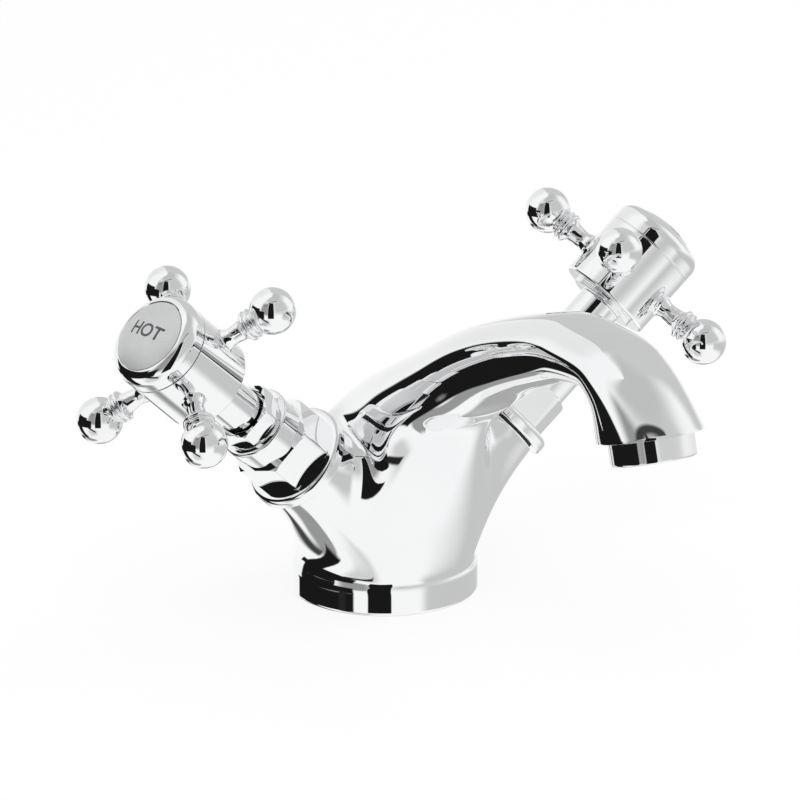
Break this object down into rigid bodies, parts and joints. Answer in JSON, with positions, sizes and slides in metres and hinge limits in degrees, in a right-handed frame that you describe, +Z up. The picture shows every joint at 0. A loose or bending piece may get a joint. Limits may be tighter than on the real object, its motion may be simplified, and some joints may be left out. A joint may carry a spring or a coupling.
{
  "type": "basin mixer tap",
  "caption": "Deck-mounted mono basin mixer in polished chrome with raked crosshead valves, ball-ended handles, domed indices and an arched spout with an aerator outlet.",
  "frame": {"origin": "centre of the foot on the deck", "axes": "+Z up from the deck, -Y along the spout towards the user, +X to the cold side"},
  "size_m": [0.1908, 0.1643, 0.1039],
  "materials": {
    "chrome": "polished chrome plate on brass",
    "brass": "machined brass",
    "rubber": "black nitrile rubber",
    "acetal": "white acetal moulding",
    "ceramic": "lapped alumina ceramic",
    "index": "pale grey domed index, glossy"
  },
  "bodies": {
    "body": {"body": "chrome", "base_gasket": "rubber", "inlet_block": "brass", "outlet_ring": "chrome", "aerator_washer": "rubber", "aerator_insert": "acetal", "hot_seat_seal": "rubber", "hot_fixed_disc": "ceramic", "hot_housing_gasket": "rubber", "hot_valve_housing": "chrome", "hot_gland_nut": "chrome", "cold_seat_seal": "rubber", "cold_fixed_disc": "ceramic", "cold_housing_gasket": "rubber", "cold_valve_housing": "chrome", "cold_gland_nut": "chrome"},
    "hot_handle": {"hot_moving_disc": "ceramic", "hot_spindle": "brass", "hot_thrust_washer": "acetal", "hot_spindle_o_ring": "rubber", "hot_spindle_sleeve": "chrome", "hot_handle_hub": "chrome", "hot_handle_arm_1": "chrome", "hot_handle_arm_2": "chrome", "hot_handle_arm_3": "chrome", "hot_handle_arm_4": "chrome", "hot_handle_cap": "chrome", "hot_index_disc": "index", "hot_handle_screw": "brass"},
    "cold_handle": {"cold_moving_disc": "ceramic", "cold_spindle": "brass", "cold_thrust_washer": "acetal", "cold_spindle_o_ring": "rubber", "cold_spindle_sleeve": "chrome", "cold_handle_hub": "chrome", "cold_handle_arm_1": "chrome", "cold_handle_arm_2": "chrome", "cold_handle_arm_3": "chrome", "cold_handle_arm_4": "chrome", "cold_handle_cap": "chrome", "cold_index_disc": "index", "cold_handle_screw": "brass"}
  },
  "joints": [
    {"name": "hot_handle_turn", "type": "hinge", "parent": "body", "child": "hot_handle", "pos_m": [-0.05348, -0.01047, 0.06376], "axis": [-0.7386, -0.0963, 0.6672], "range_deg": [0, 90]},
    {"name": "cold_handle_turn", "type": "hinge", "parent": "body", "child": "cold_handle", "pos_m": [0.05348, -0.01047, 0.06376], "axis": [-0.7386, 0.0963, -0.6672], "range_deg": [0, 90]}
  ]
}
